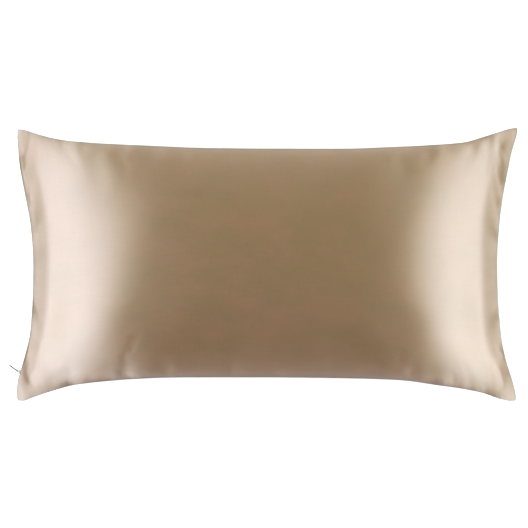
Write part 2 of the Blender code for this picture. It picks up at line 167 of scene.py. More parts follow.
# Puckers: the long seams gather the satin a little, square to the seam. Each begins at the seam, is deepest
# at about 0.4 of its reach and fades out.
Pucker = namedtuple("Pucker", "side at reach width depth")
PUCKER_FALL = 2.7
PUCKER_PEAK = 0.5
PUCKERS = (
    Pucker("head", -0.205, 0.024, 0.011, 0.0014),
    Pucker("head", -0.150, 0.030, 0.014, 0.0018),
    Pucker("head", -0.068, 0.028, 0.013, 0.0020),
    Pucker("head", -0.012, 0.022, 0.012, 0.0013),
    Pucker("head", 0.070, 0.030, 0.014, 0.0020),
    Pucker("head", 0.132, 0.024, 0.012, 0.0014),
    Pucker("head", 0.285, 0.028, 0.012, 0.0008),
    Pucker("foot", -0.255, 0.024, 0.012, 0.0007),
    Pucker("foot", -0.180, 0.032, 0.014, 0.0020),
    Pucker("foot", -0.118, 0.024, 0.011, 0.0015),
    Pucker("foot", -0.066, 0.036, 0.014, 0.0022),
    Pucker("foot", 0.012, 0.024, 0.012, 0.0014),
    Pucker("foot", 0.096, 0.032, 0.014, 0.0024),
    Pucker("foot", 0.175, 0.026, 0.012, 0.0018),
    Pucker("foot", 0.255, 0.030, 0.012, 0.0008),
)

# The seam is never quite straight: it waves up and down between its corners, differently on each of the four
# sides, and the satin beside it follows.
SeamWave = namedtuple("SeamWave", "length height phase")
SEAM_WAVES = (
    SeamWave(0.034, 0.0003, 0.4),
    SeamWave(0.053, 0.0005, 2.1),
    SeamWave(0.091, 0.0007, 4.0),
)
SEAM_WAVE_FADE = 0.014
SEAM_WAVE_PHASE_STEP = 1.7

# Near the foot's corners the pillow stays further from the seam: where along X, from the middle of the case,
# over what width, and by how much the lip is wider there.
Flap = namedtuple("Flap", "at width extra_lip")
FOOT_FLAPS = (
    Flap(-0.390, 0.130, 0.011),
    Flap(0.440, 0.060, 0.012),
)

# Swells: where the filling lies a little fuller under the front, or slacker if the height is negative. x and
# y are read from the middle of the case.
Swell = namedtuple("Swell", "x y radius height")
SWELLS = (
    Swell(-0.150, -0.110, 0.060, 0.0025),
    Swell(-0.195, -0.172, 0.070, 0.0060),
    Swell(-0.055, -0.125, 0.050, -0.0020),
    Swell(0.150, -0.115, 0.065, 0.0025),
    Swell(0.215, -0.178, 0.065, 0.0055),
    Swell(-0.285, -0.115, 0.060, 0.0025),
    Swell(0.230, -0.120, 0.055, -0.0025),
    Swell(-0.265, 0.110, 0.060, -0.0030),
    Swell(0.235, 0.120, 0.060, -0.0025),
    Swell(0.175, 0.172, 0.070, 0.0050),
    Swell(0.060, 0.060, 0.110, 0.0020),
)


def curve_through(stations, column):
    """A smooth curve through one column of a table of stations, which never overshoots between them."""
    at = np.array([station.share for station in stations])
    value = np.array([getattr(station, column) for station in stations])
    slope = np.diff(value) / np.diff(at)
    tangent = np.zeros(len(at))
    tangent[0] = slope[0]
    tangent[-1] = slope[-1]
    for i in range(1, len(at) - 1):
        if slope[i - 1] * slope[i] > 0:
            tangent[i] = 2 * slope[i - 1] * slope[i] / (slope[i - 1] + slope[i])

    def read(share):
        i = np.clip(np.searchsorted(at, share) - 1, 0, len(at) - 2)
        width = at[i + 1] - at[i]
        t = (share - at[i]) / width
        rest = 1 - t
        return (
            value[i] * (1 + 2 * t) * rest**2
            + value[i + 1] * (3 - 2 * t) * t**2
            + width * (tangent[i] * t * rest**2 - tangent[i + 1] * rest * t**2)
        )

    return read


head_inset = curve_through(SEAM_STATIONS, "head")
foot_inset = curve_through(SEAM_STATIONS, "foot")
zip_end_inset = curve_through(SEAM_STATIONS, "zip_end")
plain_end_inset = curve_through(SEAM_STATIONS, "plain_end")
zip_reach = curve_through(END_FORMS, "zip_reach")
plain_reach = curve_through(END_FORMS, "plain_reach")
zip_lip = curve_through(END_FORMS, "zip_lip")
plain_lip = curve_through(END_FORMS, "plain_lip")
zip_slope = curve_through(END_FORMS, "zip_slope")
plain_slope = curve_through(END_FORMS, "plain_slope")

# The climb beyond the lip: its slopes, summed up to heights from 0 to 1.
CLIMB_STEPS = 400
climb_shares = np.linspace(0, 1, CLIMB_STEPS + 1)
climb_slopes = curve_through(END_SLOPES, "slope")(climb_shares)
climb_heights = np.concatenate(([0], np.cumsum((climb_slopes[1:] + climb_slopes[:-1]) / 2)))
climb_heights /= climb_heights[-1]


def seam_sides(u, v):
    """Where the seam runs on each side, from the middle of the case, at shares u along X and v along Y."""
    zip_x = -CORNER_SPAN_X / 2 + zip_end_inset(v)
    plain_x = CORNER_SPAN_X / 2 - plain_end_inset(v)
    foot_y = -CORNER_SPAN_Y / 2 + foot_inset(u)
    head_y = CORNER_SPAN_Y / 2 - head_inset(u)
    return zip_x, plain_x, foot_y, head_y


def seam_height(u, v):
    """The seam's height over the surface, which droops towards the four corners."""
    towards_corner = np.abs(2 * u - 1) ** DROOP_POWER_X * np.abs(2 * v - 1) ** DROOP_POWER_Y
    return SEAM_HEIGHT - CORNER_DROOP * towards_corner


def foot_lip(x):
    """The width of the lip along the foot, where the satin lies flatter towards the corners."""
    lip = np.full_like(x, SIDE_LIP)
    for flap in FOOT_FLAPS:
        lip += flap.extra_lip * np.exp(-(((x - flap.at) / flap.width) ** 2))
    return lip


def side_rise(distance, lip):
    """0 at a long seam, 1 beyond the reach: a steep wall that rounds over to level."""
    share = np.clip(distance / SIDE_REACH, 0, 1)
    lip_share = lip / SIDE_REACH
    climbed = share**3 / (share**2 + lip_share**2) * (1 + lip_share**2)
    return (1 - (1 - np.clip(climbed, 0, 1)) ** SIDE_FLATTENING) ** (1 / SIDE_STEEPNESS)


def end_rise(distance, lip, slope, reach, bend):
    """0 at an end's seam, 1 beyond the reach: a gentle lip, then a wall that rounds over to level."""
    past_lip = distance - lip
    climbing = (past_lip + np.sqrt(past_lip**2 + bend**2)) / 2
    climbed = np.interp(climbing / (reach - lip), climb_shares, climb_heights)
    lip_height = slope * (1 - LIP_EASING / 2) * lip / FRONT_CROWN
    lip_share = np.clip((distance - climbing) / lip, 0, 1)
    lip_climbed = lip_share * (1 - LIP_EASING / 2 * lip_share) / (1 - LIP_EASING / 2)
    return lip_height * lip_climbed + (1 - lip_height) * climbed


def ears(x, y):
    """1 over most of the case, and less at the corners' tips, which the filling hardly lifts."""
    from_corner = np.hypot(np.abs(x) - CORNER_SPAN_X / 2, np.abs(y) - CORNER_SPAN_Y / 2)
    return 1 - EAR_FLATNESS * np.exp(-((from_corner / EAR_RADIUS) ** 2))


def crease_depth(x, y):
    """How deep the soft creases lie at a place, from the middle of the case."""
    depth = np.zeros_like(x)
    for crease in CREASES:
        turn = math.radians(crease.heading)
        along = (x - crease.x) * math.cos(turn) + (y - crease.y) * math.sin(turn)
        across = (y - crease.y) * math.cos(turn) - (x - crease.x) * math.sin(turn)
        fade = np.exp(-((2 * along / crease.length) ** 2))
        depth += crease.depth * fade * np.exp(-((across / crease.width) ** 2))
    return depth


def pucker_depth(x, from_foot, from_head):
    """How deep the puckers lie at a place along the case, at its distances from the two long seams."""
    depth = np.zeros_like(x)
    for pucker in PUCKERS:
        inwards = np.maximum(from_head if pucker.side == "head" else from_foot, 0) / pucker.reach
        profile = PUCKER_FALL * inwards * np.exp(-PUCKER_FALL * inwards**1.5) / PUCKER_PEAK
        depth += pucker.depth * profile * np.exp(-(((x - pucker.at) / pucker.width) ** 2))
    return depth


def swell_height(x, y):
    """How far the uneven filling lifts or drops the front at a place, from the middle of the case."""
    height = np.zeros_like(x)
    for swell in SWELLS:
        distance = np.hypot(x - swell.x, y - swell.y)
        height += swell.height * np.exp(-((distance / swell.radius) ** 2))
    return height


def seam_wave(x, y, from_sides):
    """How far the satin beside each of the four sides is lifted by its wavy seam."""
    lift = np.zeros_like(x)
    for side, (along, distance) in enumerate(zip((x, x, y, y), from_sides)):
        fade = np.exp(-np.maximum(distance, 0) / SEAM_WAVE_FADE)
        for wave in SEAM_WAVES:
            phase = wave.phase + SEAM_WAVE_PHASE_STEP * side
            lift += wave.height * fade * np.sin(2 * math.pi * along / wave.length + phase)
    return lift


def pressed_on_surface(z):
    """Heights of the back: as they are above the bend, and 0 where the surface holds the cloth up."""
    curved = (z + PRESSED_BEND) ** 2 / (4 * PRESSED_BEND)
    return np.where(z > PRESSED_BEND, z, np.where(z > -PRESSED_BEND, curved, 0.0))


def panel_points(u, v):
    """The plan place and both heights of the panels at shares u (along X) and v (along Y)."""
    zip_x, plain_x, foot_y, head_y = seam_sides(u, v)
    x = zip_x + (plain_x - zip_x) * u
    y = foot_y + (head_y - foot_y) * v
    from_foot = y - foot_y
    from_head = head_y - y
    from_zip = x - zip_x
    from_plain = plain_x - x
    fullness = (
        end_rise(from_zip, zip_lip(v), zip_slope(v), zip_reach(v), ZIP_LIP_BEND)
        * end_rise(from_plain, plain_lip(v), plain_slope(v), plain_reach(v), PLAIN_LIP_BEND)
        * side_rise(from_foot, foot_lip(x))
        * side_rise(from_head, SIDE_LIP)
        * ears(x, y)
    )
    from_side = np.minimum(from_foot, from_head)
    from_end = np.minimum(from_zip, from_plain)
    filled = np.clip(RELIEF_RISE * fullness, 0, 1)
    bent = crease_depth(x, y) * (1 - filled) * (1 - np.exp(-np.minimum(from_side, from_end) / FLAP_FADE))
    seam_z = seam_height(u, v) + seam_wave(x, y, (from_foot, from_head, from_zip, from_plain)) - bent
    relief = swell_height(x, y) - crease_depth(x, y) - pucker_depth(x, from_foot, from_head)
    front = seam_z + FRONT_CROWN * fullness + relief * filled
    back = pressed_on_surface(seam_z - BACK_CROWN * fullness)
    return x, y, front, back, seam_z, from_side, from_end


# The net of lines that both panels follow, and the roll of satin on either side of the seam's groove, read
# from the front: how far each line of the roll lies inside the seam's outline, and how high over its middle.
# Where the zip closes, its two folded edges are fuller and meet in a deeper groove.
COLUMNS = 140
ROWS = 78
SEAM_CROWDING = 0.55
RollPoint = namedtuple("RollPoint", "inset height zip_inset zip_height")
SEAM_ROLL = (
    RollPoint(0.0003, 0.0005, 0.0006, 0.0010),
    RollPoint(0.0000, 0.0002, 0.0000, 0.0005),
    RollPoint(0.0007, 0.0000, 0.0024, 0.0000),
    RollPoint(0.0000, -0.0002, 0.0000, -0.0005),
    RollPoint(0.0003, -0.0005, 0.0006, -0.0010),
)
ZIP_STOP_SHARE = 0.108
ZIP_END_SHARE = 0.900
ZIP_BLEND = 0.012


def crowded_shares(count):
    """Shares from 0 to 1 that lie closer together towards both ends."""
    even = np.linspace(0, 1, count + 1)
    return even - SEAM_CROWDING * np.sin(2 * math.pi * even) / (2 * math.pi)


u, v = np.meshgrid(crowded_shares(COLUMNS), crowded_shares(ROWS), indexing="ij")
panel_x, panel_y, front_z, back_z, seam_z, from_side, from_end = panel_points(u, v)

# The seam's outline runs round the net from the foot corner at -X, first along the foot.
border = [(i, 0) for i in range(COLUMNS)] + [(COLUMNS, j) for j in range(ROWS)]
border += [(i, ROWS) for i in range(COLUMNS, 0, -1)] + [(0, j) for j in range(ROWS, 0, -1)]
border_i, border_j = np.array(border).T
outline = np.stack((panel_x[border_i, border_j], panel_y[border_i, border_j]), axis=1)
tangent = np.roll(outline, -1, axis=0) - np.roll(outline, 1, axis=0)
tangent /= np.linalg.norm(tangent, axis=1)[:, None]
inwards = np.stack((-tangent[:, 1], tangent[:, 0]), axis=1)
seam_line = seam_z[border_i, border_j]

# 1 along the zip, 0 along the sewn seam.
zip_share = np.clip((v[border_i, border_j] - ZIP_STOP_SHARE - ZIP_BLEND) / ZIP_BLEND, 0, 1)
zip_share *= np.clip((ZIP_END_SHARE - v[border_i, border_j]) / ZIP_BLEND, 0, 1) * (border_i == 0)


def roll_line(point):
    """One line of the roll, all the way round the seam."""
    inset = point.inset + (point.zip_inset - point.inset) * zip_share
    height = point.height + (point.zip_height - point.height) * zip_share
    return np.column_stack((outline + inwards * inset[:, None], seam_line + height))


# Points: the front panel, the back panel, then the roll's middle lines.
front = np.stack((panel_x, panel_y, front_z), axis=2)
back = np.stack((panel_x, panel_y, back_z), axis=2)
front[border_i, border_j] = roll_line(SEAM_ROLL[0])
back[border_i, border_j] = roll_line(SEAM_ROLL[-1])
middle_lines = [roll_line(point) for point in SEAM_ROLL[1:-1]]
case_points = np.concatenate([front.reshape(-1, 3), back.reshape(-1, 3)] + middle_lines)

panel_count = front[..., 0].size
front_index = np.arange(panel_count).reshape(u.shape)
back_index = front_index + panel_count
middle_start = 2 * panel_count
roll_indices = [front_index[border_i, border_j]]
roll_indices += [middle_start + len(border) * k + np.arange(len(border)) for k in range(len(middle_lines))]
roll_indices += [back_index[border_i, border_j]]


def squares(index, facing_up):
    """The faces between a panel's points, four points each."""
    corners = [index[:-1, :-1], index[1:, :-1], index[1:, 1:], index[:-1, 1:]]
    return np.stack(corners if facing_up else corners[::-1], axis=2).reshape(-1, 4)


case_faces = [squares(front_index, True), squares(back_index, False)]
for upper, lower in zip(roll_indices, roll_indices[1:]):
    case_faces.append(np.stack((lower, np.roll(lower, -1), np.roll(upper, -1), upper), axis=1))
case_faces = np.concatenate(case_faces)

case_mesh = bpy.data.meshes.new("satin_case")
case_mesh.from_pydata(case_points + np.array((CASE_MIDDLE.x, CASE_MIDDLE.y, 0)), [], case_faces.tolist())
case = bpy.data.objects.new("satin_case", case_mesh)
bpy.context.scene.collection.objects.link(case)

# The cloth's own threads run along U and V, in metres, and carry on over the seam, by one step for each line
# of its roll.
ROLL_STEP = 0.0007
panel_threads = np.stack((u * CORNER_SPAN_X, v * CORNER_SPAN_Y), axis=2)
roll_threads = [
    panel_threads[border_i, border_j] - inwards * ROLL_STEP * (k + 1) for k in range(len(middle_lines))
]
threads = np.concatenate([panel_threads.reshape(-1, 2)] * 2 + roll_threads)
uv_layer = case_mesh.uv_layers.new(name="cloth")
uv_layer.data.foreach_set("uv", threads[case_faces.ravel()].ravel())

# How far each point lies from the nearest long seam and from the nearest end, for the satin's edge and its
# gathers.
for name, distance in (("from_side", from_side), ("from_end", from_end)):
    from_seam = np.concatenate([distance.ravel()] * 2 + [distance[border_i, border_j]] * len(middle_lines))
    case_mesh.attributes.new(name, "FLOAT", "POINT").data.foreach_set("value", from_seam.astype(np.float32))

# The satin is a little longer than its seam, so it settles into small folds as the pillow presses it out.
# Only the folds are kept: what is wider than a hand is the filling's own form, set above.
EXTRA_CLOTH = 0.008
CLOTH_FRAMES = 20
CLOTH_QUALITY = 6
CLOTH_WEIGHT = 0.12
CLOTH_STRETCH_STIFFNESS = 20
CLOTH_SHEAR_STIFFNESS = 8
CLOTH_BENDING_STIFFNESS = 0.02
FILLING_PRESSURE = 4
LYING_BELOW = 0.0005
WIDE_PASSES = 60
FOLD_LIMIT = 0.005
FOLD_SHARE = 0.3
SHORTEST_SHIFT = 1e-9


def points_of(mesh):
    """The mesh's points, one row of X, Y and Z each."""
    points = np.empty(len(mesh.vertices) * 3)
    mesh.vertices.foreach_get("co", points)
    return points.reshape(-1, 3)


def settling_shift(piece, held_points):
    """How far each point moves as the cloth settles over its filling, with these points held in place."""
    held = piece.vertex_groups.new(name="held")
    held.add(held_points.tolist(), 1.0, "REPLACE")
    cloth = piece.modifiers.new("cloth", "CLOTH")
    cloth.settings.quality = CLOTH_QUALITY
    cloth.settings.mass = CLOTH_WEIGHT
    cloth.settings.tension_stiffness = CLOTH_STRETCH_STIFFNESS
    cloth.settings.compression_stiffness = CLOTH_STRETCH_STIFFNESS
    cloth.settings.shear_stiffness = CLOTH_SHEAR_STIFFNESS
    cloth.settings.bending_stiffness = CLOTH_BENDING_STIFFNESS
    cloth.settings.vertex_group_mass = "held"
    cloth.settings.shrink_min = -EXTRA_CLOTH
    cloth.settings.use_pressure = True
    cloth.settings.uniform_pressure_force = FILLING_PRESSURE
    cloth.settings.effector_weights.gravity = 0
    cloth.point_cache.frame_end = CLOTH_FRAMES
    for frame_number in range(1, CLOTH_FRAMES + 1):
        bpy.context.scene.frame_set(frame_number)
    settled = piece.evaluated_get(bpy.context.evaluated_depsgraph_get()).to_mesh()
    shift = points_of(settled) - points_of(piece.data)
    piece.modifiers.remove(cloth)
    piece.vertex_groups.remove(held)
    bpy.context.scene.frame_set(1)
    return shift


def folds_only(panel_shift):
    """A panel's shift less its wide form, which is the same shift smoothed many times."""
    wide = panel_shift.copy()
    for _ in range(WIDE_PASSES):
        wide[1:-1] = (wide[:-2] + 2 * wide[1:-1] + wide[2:]) / 4
        wide[:, 1:-1] = (wide[:, :-2] + 2 * wide[:, 1:-1] + wide[:, 2:]) / 4
    return panel_shift - wide


lying = np.flatnonzero(case_points[:, 2] < LYING_BELOW)
sewn = np.concatenate(roll_indices)
shift = settling_shift(case, np.union1d(lying, sewn))
for index in (front_index, back_index):
    shift[index] = folds_only(shift[index])
length = np.maximum(np.linalg.norm(shift, axis=1), SHORTEST_SHIFT)[:, None]
limited = FOLD_LIMIT * np.tanh(length / FOLD_LIMIT) * shift / length
folded = points_of(case_mesh) + FOLD_SHARE * limited
folded[:, 2] = np.maximum(folded[:, 2], 0)
case_mesh.vertices.foreach_set("co", folded.ravel())
case_mesh.update()

case_mesh.shade_smooth()
finer = case.modifiers.new("finer", "SUBSURF")
finer.levels = 1
finer.render_levels = 1

# The satin's colours: its dye leans to olive or to red in broad patches, and its very edge is painted grey, a
# painted shade of the seam's turned fold.
DYE_OLIVE = (0.128, 0.075, 0.0205, 1)
DYE_RED = (0.145, 0.079, 0.0250, 1)
DYE_PATCH_LENGTH = 0.085
DYE_PATCH_WIDTH = 0.060
# Painted shade along the seam's very edge: its grey, and how far in from the seam it reaches.
SEAM_SHADE_GREY = (0.040, 0.040, 0.042, 1)
SEAM_SHADE_WIDTH = 0.0018

# Uneven stretches of the satin: their length along the warp, their width across it, and the low and high
# value that they mostly lie between. Streaks are shares of the dye's brightness, the sheen is a roughness.
Stretch = namedtuple("Stretch", "length width low high")
STREAKS = (
    Stretch(0.0600, 0.0011, 0.965, 1.035),
    Stretch(0.0012, 0.0300, 0.985, 1.015),
    Stretch(0.0240, 0.0045, 0.950, 1.050),
    Stretch(0.0045, 0.0200, 0.950, 1.050),
)
SHEEN = Stretch(0.0500, 0.0200, 0.70, 0.74)

# Relief, from fine to coarse: the warp threads, slubs along them, and gathers square to the seams.
THREAD_SPACING = 0.0003
THREAD_HEIGHT = 0.0000024
SLUB_LENGTH = 0.025
SLUB_WIDTH = 0.0009
SLUB_HEIGHT = 0.000008
GATHER_SPACING = 0.008
GATHER_LENGTH = 0.035
GATHER_REACH = 0.009
GATHER_HEIGHT = 0.0009

# Blender's noise mostly lies between these two values, and its wave texture counts 20 radians to a unit.
NOISE_LOW = 0.3
NOISE_HIGH = 0.7
WAVE_RADIANS = 20


def satin():
    """Silk satin: its warp runs along the case, in fine floating threads that mirror along their length."""
    material = bpy.data.materials.new("caramel_satin")
    material.use_nodes = True
    nodes, links = material.node_tree.nodes, material.node_tree.links
    shader = nodes["Principled BSDF"]
    shader.inputs["IOR"].default_value = 2.0
    shader.inputs["Specular IOR Level"].default_value = 1.0
    shader.inputs["Anisotropic"].default_value = 1.0
    shader.inputs["Anisotropic Rotation"].default_value = 0.25
    weave_line = nodes.new("ShaderNodeTangent")
    weave_line.direction_type = "UV_MAP"
    weave_line.uv_map = "cloth"
    links.new(weave_line.outputs["Tangent"], shader.inputs["Tangent"])
    on_cloth = nodes.new("ShaderNodeUVMap")
    on_cloth.uv_map = "cloth"

    def calculated(operation, first, second=0.0):
        node = nodes.new("ShaderNodeMath")
        node.operation = operation
        for socket, value in zip(node.inputs, (first, second)):
            if isinstance(value, float):
                socket.default_value = value
            else:
                links.new(value, socket)
        return node.outputs["Value"]

    def patches(length, width):
        """Noise around 0.5 in patches of this length along the warp and this width across it, in metres."""
        stretch = nodes.new("ShaderNodeMapping")
        stretch.inputs["Scale"].default_value = (1 / length, 1 / width, 1)
        links.new(on_cloth.outputs["UV"], stretch.inputs["Vector"])
        noise = nodes.new("ShaderNodeTexNoise")
        noise.inputs["Scale"].default_value = 1.0
        noise.inputs["Detail"].default_value = 2.0
        links.new(stretch.outputs["Vector"], noise.inputs["Vector"])
        return noise.outputs["Fac"]

    def uneven(stretch):
        """A value that goes between its low and its high from one stretch of satin to the next."""
        between = nodes.new("ShaderNodeMapRange")
        between.inputs["From Min"].default_value = NOISE_LOW
        between.inputs["From Max"].default_value = NOISE_HIGH
        between.inputs["To Min"].default_value = stretch.low
        between.inputs["To Max"].default_value = stretch.high
        links.new(patches(stretch.length, stretch.width), between.inputs["Value"])
        return between.outputs["Result"]

    def near_seam(name, reach):
        """1 at the seam, fading over this reach: from the long seams or the ends, as the name says."""
        from_seam = nodes.new("ShaderNodeAttribute")
        from_seam.attribute_name = name
        return calculated("EXPONENT", calculated("MULTIPLY", from_seam.outputs["Fac"], -1 / reach))

    # Colour: the dye, with its lighter and darker streaks.
    dye = nodes.new("ShaderNodeValToRGB")
    dye.color_ramp.elements[0].position = 0.35
    dye.color_ramp.elements[0].color = DYE_OLIVE
    dye.color_ramp.elements[1].position = 0.65
    dye.color_ramp.elements[1].color = DYE_RED
    links.new(patches(DYE_PATCH_LENGTH, DYE_PATCH_WIDTH), dye.inputs["Fac"])
    brightness = 1.0
    for streak in STREAKS:
        brightness = calculated("MULTIPLY", brightness, uneven(streak))
    streaked = nodes.new("ShaderNodeHueSaturation")
    links.new(brightness, streaked.inputs["Value"])
    links.new(dye.outputs["Color"], streaked.inputs["Color"])

    # The very edge is painted grey: painted shade of the fold where the satin turns under into the seam.
    edge = calculated("MAXIMUM", near_seam("from_side", SEAM_SHADE_WIDTH), near_seam("from_end", SEAM_SHADE_WIDTH))
    painted_seam_shade = nodes.new("ShaderNodeMix")
    painted_seam_shade.data_type = "RGBA"
    painted_seam_shade.inputs["B"].default_value = SEAM_SHADE_GREY
    links.new(edge, painted_seam_shade.inputs["Factor"])
    links.new(streaked.outputs["Color"], painted_seam_shade.inputs["A"])
    links.new(painted_seam_shade.outputs["Result"], shader.inputs["Base Color"])
    links.new(uneven(SHEEN), shader.inputs["Roughness"])

    # Relief, as heights in metres: the warp threads, slubs along them, and the gathers along the seams.
    threads = nodes.new("ShaderNodeTexWave")
    threads.bands_direction = "Y"
    threads.inputs["Scale"].default_value = 2 * math.pi / (WAVE_RADIANS * THREAD_SPACING)
    threads.inputs["Distortion"].default_value = 1.2
    threads.inputs["Detail"].default_value = 2.0
    threads.inputs["Detail Scale"].default_value = 0.05
    links.new(on_cloth.outputs["UV"], threads.inputs["Vector"])
    height = calculated("MULTIPLY", threads.outputs["Fac"], THREAD_HEIGHT)
    slubs = calculated("MULTIPLY", patches(SLUB_LENGTH, SLUB_WIDTH), SLUB_HEIGHT)
    height = calculated("ADD", height, slubs)
    gathered = {
        "from_side": patches(GATHER_SPACING, GATHER_LENGTH),
        "from_end": patches(GATHER_LENGTH, GATHER_SPACING),
    }
    for name, folds in gathered.items():
        gathers = calculated("MULTIPLY", calculated("SUBTRACT", folds, 0.5), near_seam(name, GATHER_REACH))
        height = calculated("ADD", height, calculated("MULTIPLY", gathers, GATHER_HEIGHT))
    relief = nodes.new("ShaderNodeBump")
    relief.inputs["Strength"].default_value = 1.0
    relief.inputs["Distance"].default_value = 1.0
    links.new(height, relief.inputs["Height"])
    links.new(relief.outputs["Normal"], shader.inputs["Normal"])
    return material


case_mesh.materials.append(satin())
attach(case, "root")
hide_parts("pillowcase")

# ---- The zip's slider -----------------------------------------------------------------------------------
# The slider of the concealed zip, cast in zinc and nickel plated: a tapered shield whose two flanges close
# round the zip's coil, with a raised panel on its face and a bridge over the panel that holds the pull.

# The shield lies a small gap out of the seam, and its tail is a share of its full width.
SEAM_GAP = 0.0003
SLIDER_LENGTH = 0.0080
SLIDER_WIDTH = 0.0054
SLIDER_DEPTH = 0.0017
SLIDER_TAIL = 0.72
SLIDER_SQUARENESS = 3.6
SLIDER_POINTS = 72

# The bridge: a flat bar, bent into an arch over the panel, with its feet sunk into it.
BRIDGE_LENGTH = 0.0056
BRIDGE_RISE = 0.0026
BRIDGE_WIDTH = 0.0016
BRIDGE_BAR = 0.0009
BRIDGE_BEND = 0.0011
BRIDGE_SUNK = 0.0006
BAR_SQUARENESS = 4.0
BAR_POINTS = 20
BEND_POINTS = 8
SHARP_ANGLE = 38

# The slider's section from its inner edge outwards: how far each line lies inside the outline, and how far
# out of the seam.
FaceLine = namedtuple("FaceLine", "inset out")
SLIDER_FACE = (
    FaceLine(0.00055, 0.00030),
    FaceLine(0.00018, 0.00036),
    FaceLine(0.00000, 0.00062),
    FaceLine(0.00000, 0.00138),
    FaceLine(0.00010, 0.00160),
    FaceLine(0.00034, 0.00172),
    FaceLine(0.00056, 0.00168),
    FaceLine(0.00068, 0.00150),
    FaceLine(0.00082, 0.00150),
    FaceLine(0.00094, 0.00184),
    FaceLine(0.00108, 0.00198),
    FaceLine(0.00134, 0.00200),
)


def zip_stop_frame():
    """A frame on the rim where the closed zip ends: +X out of the seam, +Y along it towards the foot."""
    edge = np.zeros(3)
    share = ZIP_STOP_SHARE + np.array((-0.01, 0, 0.01))
    rim_x, _, foot_y, head_y = seam_sides(edge, share)
    rim_y = foot_y + (head_y - foot_y) * share
    along = Vector((rim_x[2] - rim_x[0], rim_y[2] - rim_y[0], 0)).normalized()
    out = Vector((-along.y, along.x, 0))
    place = Matrix((out, -along, Vector((0, 0, 1)))).transposed().to_4x4()
    place.translation = (CASE_MIDDLE.x + rim_x[1], CASE_MIDDLE.y + rim_y[1], seam_height(edge, share)[1])
    return place


def rounded_square(angles, half_length, half_width, squareness):
    """Points round a closed line between an ellipse (2) and a rectangle (far above 2)."""
    cosine, sine = np.cos(angles), np.sin(angles)
    power = 2 / squareness
    along = half_length * np.sign(cosine) * np.abs(cosine) ** power
    across = half_width * np.sign(sine) * np.abs(sine) ** power
    return along, across


def skin_rings(bm, rings, closed):
    """Joins rings of points with quads: capped at both ends, or joined from the last to the first."""
    lines = [[bm.verts.new(point) for point in ring] for ring in rings]
    for lower, upper in zip(lines, lines[1:] + lines[:1] if closed else lines[1:]):
        for i in range(len(lower)):
            k = (i + 1) % len(lower)
            bm.faces.new((lower[i], lower[k], upper[k], upper[i]))
    if not closed:
        bm.faces.new(lines[0][::-1])
        bm.faces.new(lines[-1])


def metal_piece(name, bm, place, material, node):
    """Puts a finished metal form in its place under the root body, with its material, and hides its CAD
    node's part.
    """
    bmesh.ops.recalc_face_normals(bm, faces=bm.faces)
    bm.transform(place)
    mesh = bpy.data.meshes.new(name)
    bm.to_mesh(mesh)
    bm.free()
    mesh.shade_smooth()
    mesh.set_sharp_from_angle(angle=math.radians(SHARP_ANGLE))
    mesh.materials.append(material)
    piece = bpy.data.objects.new(name, mesh)
    bpy.context.scene.collection.objects.link(piece)
    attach(piece, "root")
    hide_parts(node)


# The plate's darker and lighter clouds, as shares of its tone.
DARK_CLOUD = (0.90, 0.88, 0.84)
LIGHT_CLOUD = (1.00, 0.99, 0.96)
CLOUD_SCALE = 420.0


def nickel(name, tone, low_roughness, high_roughness, grain, relief_height):
    """Satin nickel plate: softly clouded by handling, with the fine grain of the metal under it."""
    material = bpy.data.materials.new(name)
    material.use_nodes = True
    nodes, links = material.node_tree.nodes, material.node_tree.links
    shader = nodes["Principled BSDF"]
    shader.inputs["Metallic"].default_value = 1.0
    place = nodes.new("ShaderNodeTexCoord")
    clouds = nodes.new("ShaderNodeTexNoise")
    clouds.inputs["Scale"].default_value = CLOUD_SCALE
    clouds.inputs["Detail"].default_value = 3.0
    links.new(place.outputs["Object"], clouds.inputs["Vector"])
    plate = nodes.new("ShaderNodeValToRGB")
    plate.color_ramp.elements[0].position = NOISE_LOW
    plate.color_ramp.elements[0].color = [tone * share for share in DARK_CLOUD] + [1]
    plate.color_ramp.elements[1].position = NOISE_HIGH
    plate.color_ramp.elements[1].color = [tone * share for share in LIGHT_CLOUD] + [1]
    links.new(clouds.outputs["Fac"], plate.inputs["Fac"])
    links.new(plate.outputs["Color"], shader.inputs["Base Color"])
    dulled = nodes.new("ShaderNodeMapRange")
    dulled.inputs["From Min"].default_value = NOISE_LOW
    dulled.inputs["From Max"].default_value = NOISE_HIGH
    dulled.inputs["To Min"].default_value = low_roughness
    dulled.inputs["To Max"].default_value = high_roughness
    links.new(clouds.outputs["Fac"], dulled.inputs["Value"])
    links.new(dulled.outputs["Result"], shader.inputs["Roughness"])
    grains = nodes.new("ShaderNodeTexNoise")
    grains.inputs["Scale"].default_value = grain
    grains.inputs["Detail"].default_value = 2.0
    links.new(place.outputs["Object"], grains.inputs["Vector"])
    relief = nodes.new("ShaderNodeBump")
    relief.inputs["Strength"].default_value = 1.0
    relief.inputs["Distance"].default_value = relief_height
    links.new(grains.outputs["Fac"], relief.inputs["Height"])
    links.new(relief.outputs["Normal"], shader.inputs["Normal"])
    return material


slider_form = bmesh.new()
angles = np.linspace(0, 2 * math.pi, SLIDER_POINTS, endpoint=False)
face_rings = []
for line in SLIDER_FACE:
    along, across = rounded_square(angles, SLIDER_LENGTH / 2 - line.inset, 1.0, SLIDER_SQUARENESS)
    from_tail = along / SLIDER_LENGTH + 0.5
    half_width = SLIDER_WIDTH / 2 * (SLIDER_TAIL + (1 - SLIDER_TAIL) * from_tail) - line.inset
    face_rings.append(np.column_stack((np.full_like(along, line.out), along, across * half_width)))
skin_rings(slider_form, face_rings, closed=False)

